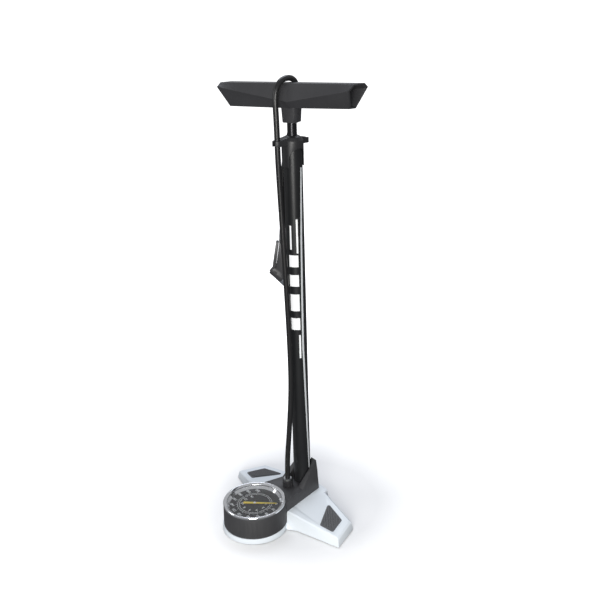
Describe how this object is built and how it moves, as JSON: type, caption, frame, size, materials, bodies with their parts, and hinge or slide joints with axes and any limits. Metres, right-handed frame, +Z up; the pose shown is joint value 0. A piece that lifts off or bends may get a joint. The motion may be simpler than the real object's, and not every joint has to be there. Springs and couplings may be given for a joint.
{
  "type": "floor pump for bicycle tyres",
  "caption": "Upright hand pump for bicycle tyres: wide two-footed base, round tilted pressure gauge, slim barrel, T handle and a hose with a lever head stowed over the handle.",
  "frame": {"origin": "on the floor under the barrel axis, at the underside of the middle floor pad", "axes": "+Z up along the barrel; -Y towards the gauge; +X and -X towards the two feet"},
  "size_m": [0.2774, 0.2248, 0.7208],
  "materials": {
    "base_white": "satin white moulding",
    "grip_rubber": "cross-hatched grey rubber",
    "black_rubber": "plain black rubber",
    "socket_black": "fine grained black",
    "screw_steel": "zinc plated",
    "block_aluminium": "machined",
    "fitting_brass": "turned",
    "barrel_paint": "satin black powder coat with a silver line and plain white bars",
    "cap_black": "satin black",
    "bush_plastic": "natural acetal",
    "rod_black": "gloss black",
    "handle_black": "satin black",
    "case_black": "satin black",
    "bezel_chrome": "bright chrome",
    "lens": "clear",
    "dial_black": "matt black with white scales and plain figures",
    "needle_yellow": "yellow",
    "boss_white": "white",
    "nut_black": "satin black",
    "ferrule_metal": "polished",
    "hose_rubber": "smooth black rubber",
    "head_black": "satin black",
    "lever_black": "satin black",
    "nose_metal": "anodised grey"
  },
  "bodies": {
    "base": {"base_shell": "base_white", "grip_pad_right": "grip_rubber", "grip_pad_left": "grip_rubber", "floor_pads": "black_rubber", "centre_floor_pad": "black_rubber", "barrel_socket": "socket_black", "socket_screws": "screw_steel", "valve_block": "block_aluminium", "block_screws": "screw_steel", "valve_plug": "fitting_brass", "block_oring": "black_rubber", "check_spring": "screw_steel", "barrel": "barrel_paint", "barrel_cap": "cap_black", "rod_wiper": "black_rubber", "rod_bush": "bush_plastic", "bump_stop": "black_rubber", "gauge_case": "case_black", "gauge_bezel": "bezel_chrome", "gauge_lens": "lens", "dial_ring": "bezel_chrome", "gauge_dial": "dial_black", "movement_frame": "fitting_brass", "dial_screws": "fitting_brass", "bourdon_tube": "fitting_brass", "gauge_stem": "fitting_brass", "outlet_nut": "nut_black", "outlet_stem": "fitting_brass", "hose_ferrule": "ferrule_metal", "hose_riser": "hose_rubber", "hose_arch": "hose_rubber", "hose_drop": "hose_rubber", "head_body": "head_black", "lever_pin": "screw_steel", "valve_gasket": "black_rubber", "nose_nut": "nose_metal", "nose_collar": "nose_metal", "head_sleeve": "ferrule_metal"},
    "piston": {"piston": "bush_plastic", "piston_cup": "black_rubber", "piston_washer": "screw_steel", "piston_bolt": "screw_steel"},
    "handle": {"handle": "handle_black", "handle_stud": "block_aluminium", "piston_rod": "rod_black", "rod_plug": "block_aluminium"},
    "needle": {"gauge_needle": "needle_yellow", "needle_boss": "boss_white", "pinion_spindle": "fitting_brass"},
    "sector": {"sector_gear": "fitting_brass", "sector_link": "fitting_brass"},
    "check_ball": {"check_ball": "screw_steel"},
    "lever": {"head_lever": "lever_black"},
    "plunger": {"head_plunger": "bush_plastic"}
  },
  "joints": [
    {"name": "handle_slide", "type": "slide", "parent": "base", "child": "piston", "axis": [0, 0, 1], "range_m": [0, 0.521], "deforming": ["hose_arch"]},
    {"name": "handle_turn", "type": "hinge", "parent": "piston", "child": "handle", "pos_m": [0, 0, 0.66], "axis": [0, 0, 1], "range_deg": [-15, 4]},
    {"name": "sector_swing", "type": "hinge", "parent": "base", "child": "sector", "pos_m": [0, -0.0852, 0.05001], "axis": [0, 0.0175, -0.9998], "range_deg": [-45, 0], "stiffness_Nm_per_rad": 0.002},
    {"name": "needle_sweep", "type": "hinge", "parent": "base", "child": "needle", "pos_m": [0, -0.1027, 0.0497], "axis": [0, 0.0175, -0.9998], "range_deg": [0, 270]},
    {"name": "check_ball_lift", "type": "slide", "parent": "base", "child": "check_ball", "axis": [0, 0, -1], "range_m": [0, 0.0015], "stiffness_N_per_m": 60, "springref_m": -0.002, "deforming": ["check_spring"]},
    {"name": "lever_flip", "type": "hinge", "parent": "base", "child": "lever", "pos_m": [-0.04447, -0.00549, 0.4137], "axis": [0.7793, -0.6266, 0], "range_deg": [0, 90]},
    {"name": "plunger_push", "type": "slide", "parent": "base", "child": "plunger", "axis": [0.4431, 0.5511, -0.7071], "range_m": [0, 0.0008]}
  ],
  "couplings": [
    {"joint": "needle_sweep", "follows": "sector_swing", "ratio": -6},
    {"joint": "plunger_push", "follows": "lever_flip", "m_per_rad": 0.00050929}
  ]
}
